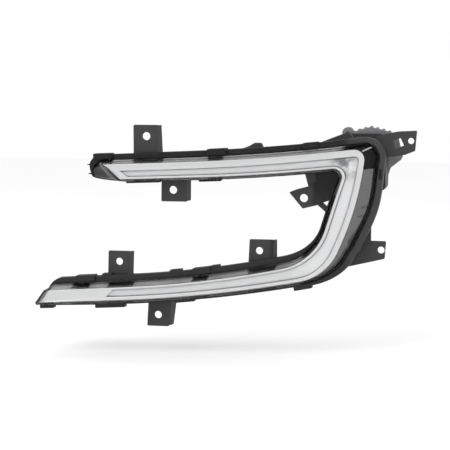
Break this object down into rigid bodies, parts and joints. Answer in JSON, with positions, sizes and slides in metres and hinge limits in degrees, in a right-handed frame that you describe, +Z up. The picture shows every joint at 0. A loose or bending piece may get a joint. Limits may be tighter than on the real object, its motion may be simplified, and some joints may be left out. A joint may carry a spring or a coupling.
{
  "type": "daytime running light",
  "caption": "Sickle-shaped LED daytime running light for a bumper corner: clear lens over a bright bezel, black housing with screw tabs, driver unit with heat sink.",
  "frame": {"origin": "centre of the screw hole of the inner corner tab, in the gap between the arms, on the tab's front face", "axes": "+X across the car to its outer side, +Y to the rear along every tab's screw, +Z up"},
  "size_m": [0.3754, 0.1332, 0.2031],
  "materials": {
    "housing_black": "fine matte moulding",
    "lens_clear": "clear gloss",
    "seal_grey": "matte",
    "trim_black": "high gloss",
    "bezel_silver": "satin metallised",
    "guide_white": "frosted",
    "board_green": "solder mask",
    "led_yellow": "phosphor",
    "screw_steel": "zinc plated",
    "lead_grey": "insulation",
    "rubber_black": "matte",
    "case_black": "fine matte moulding",
    "chip_black": "epoxy",
    "pad_grey": "soft",
    "sink_aluminium": "die cast",
    "pin_brass": "tinned",
    "membrane_white": "matte"
  },
  "bodies": {
    "root": {"rear_housing": "housing_black", "outer_lens": "lens_clear", "seal_bead": "seal_grey", "black_trim": "trim_black", "bright_bezel": "bezel_silver", "light_guide": "guide_white", "led_board_upper": "board_green", "led_board_leg": "board_green", "led_board_lower": "board_green", "led_chips_upper": "led_yellow", "led_chips_leg": "led_yellow", "led_chips_lower": "led_yellow", "board_screws": "screw_steel", "led_leads": "lead_grey", "wire_grommet": "rubber_black", "driver_case": "case_black", "case_screws": "screw_steel", "driver_board": "board_green", "driver_chips": "chip_black", "thermal_pad": "pad_grey", "board_mount_screws": "screw_steel", "case_gasket": "rubber_black", "heat_sink": "sink_aluminium", "sink_screws": "screw_steel", "connector_pins": "pin_brass", "breather_cap": "rubber_black", "breather_membrane": "membrane_white"}
  },
  "joints": []
}
